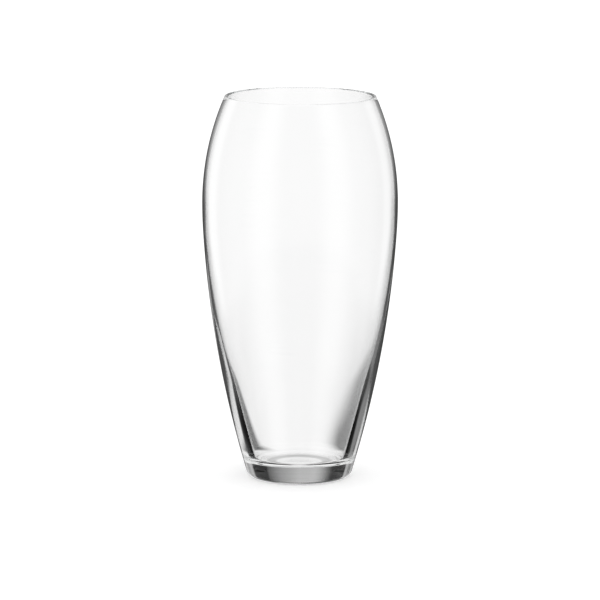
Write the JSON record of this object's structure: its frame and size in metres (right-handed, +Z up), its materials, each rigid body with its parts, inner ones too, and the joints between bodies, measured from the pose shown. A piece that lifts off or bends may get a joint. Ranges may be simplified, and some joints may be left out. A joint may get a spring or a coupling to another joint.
{
  "type": "highball glass",
  "caption": "Tall barrel-shaped drinking glass of clear glass: a thin bowl that swells below a narrower round rim and tapers to a thick solid base, for long drinks.",
  "frame": {"origin": "centre of the underside, on the surface that the glass stands on", "axes": "+Z up along the glass's axis of revolution, from the base to the rim; X and Y lie in the plane of the underside"},
  "size_m": [0.0762, 0.0762, 0.15],
  "materials": {
    "clear_glass": "polished, clear and colourless"
  },
  "bodies": {
    "root": {"base": "clear_glass", "bowl": "clear_glass", "rim": "clear_glass"}
  },
  "joints": []
}
